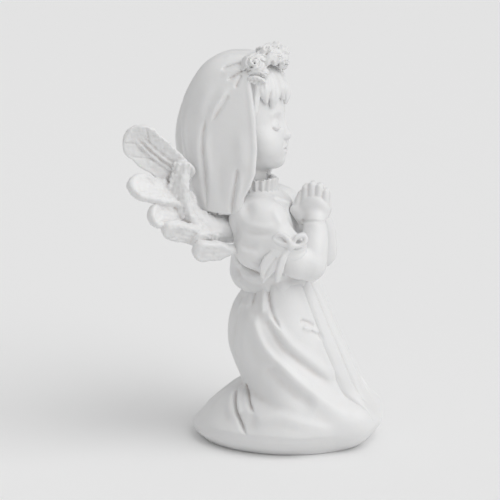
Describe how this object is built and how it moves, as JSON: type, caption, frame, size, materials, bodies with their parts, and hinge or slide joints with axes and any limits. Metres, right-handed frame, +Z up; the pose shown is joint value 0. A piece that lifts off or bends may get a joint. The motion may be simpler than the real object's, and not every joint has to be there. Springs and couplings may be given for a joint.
{
  "type": "resin angel figurine",
  "caption": "Kneeling child angel with praying hands, a veil, a rose wreath, puffed sleeves with ribbon bows and feathered wings, cast in white resin.",
  "frame": {"origin": "middle of the flat underside", "axes": "+Z up, the figure faces -Y, its right hand is at -X"},
  "size_m": [0.0746, 0.0873, 0.1485],
  "materials": {
    "resin": "matt cast resin, white all through"
  },
  "bodies": {
    "root": {"skirt": "resin", "bodice": "resin", "collar": "resin", "head": "resin", "fringe": "resin", "veil": "resin", "rose_middle": "resin", "rose_right_front": "resin", "rose_left_front": "resin", "rose_right_side": "resin", "rose_left_side": "resin", "leaf_right": "resin", "leaf_left": "resin", "right_sleeve": "resin", "left_sleeve": "resin", "right_arm": "resin", "left_arm": "resin", "right_bow": "resin", "left_bow": "resin", "right_wing": "resin", "left_wing": "resin"}
  },
  "joints": []
}
